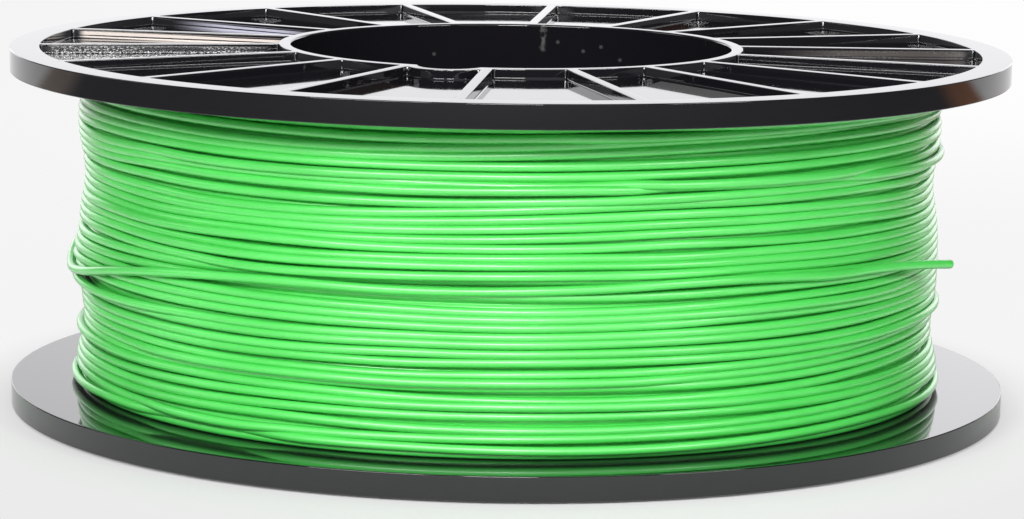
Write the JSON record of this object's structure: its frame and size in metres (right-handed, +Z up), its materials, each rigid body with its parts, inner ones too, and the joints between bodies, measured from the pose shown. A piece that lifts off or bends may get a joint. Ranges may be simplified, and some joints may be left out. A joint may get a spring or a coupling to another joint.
{
  "type": "filament spool",
  "caption": "Black ribbed-flange spool, wound full of bright green 1.75 mm printer filament with a loose free end.",
  "frame": {"origin": "middle of the plane that the spool stands on, on the spool's axis", "axes": "+Z up along the spool's axis; the drive notch of each flange is at 105.5 degrees clockwise from +X, seen from above, and the filament's free end leaves on the +X side, so -Y is the front"},
  "size_m": [0.2, 0.2, 0.0722],
  "materials": {
    "flange_black": "polished injection-moulded polystyrene with light handling scuffs",
    "barrel_black": "smooth moulded tube",
    "filament_green": "smooth extruded filament with a bright sheen"
  },
  "bodies": {
    "root": {"lower_flange": "flange_black", "upper_flange": "flange_black", "core_barrel": "barrel_black", "filament_winding": "filament_green", "filament_free_end": "filament_green"}
  },
  "joints": []
}
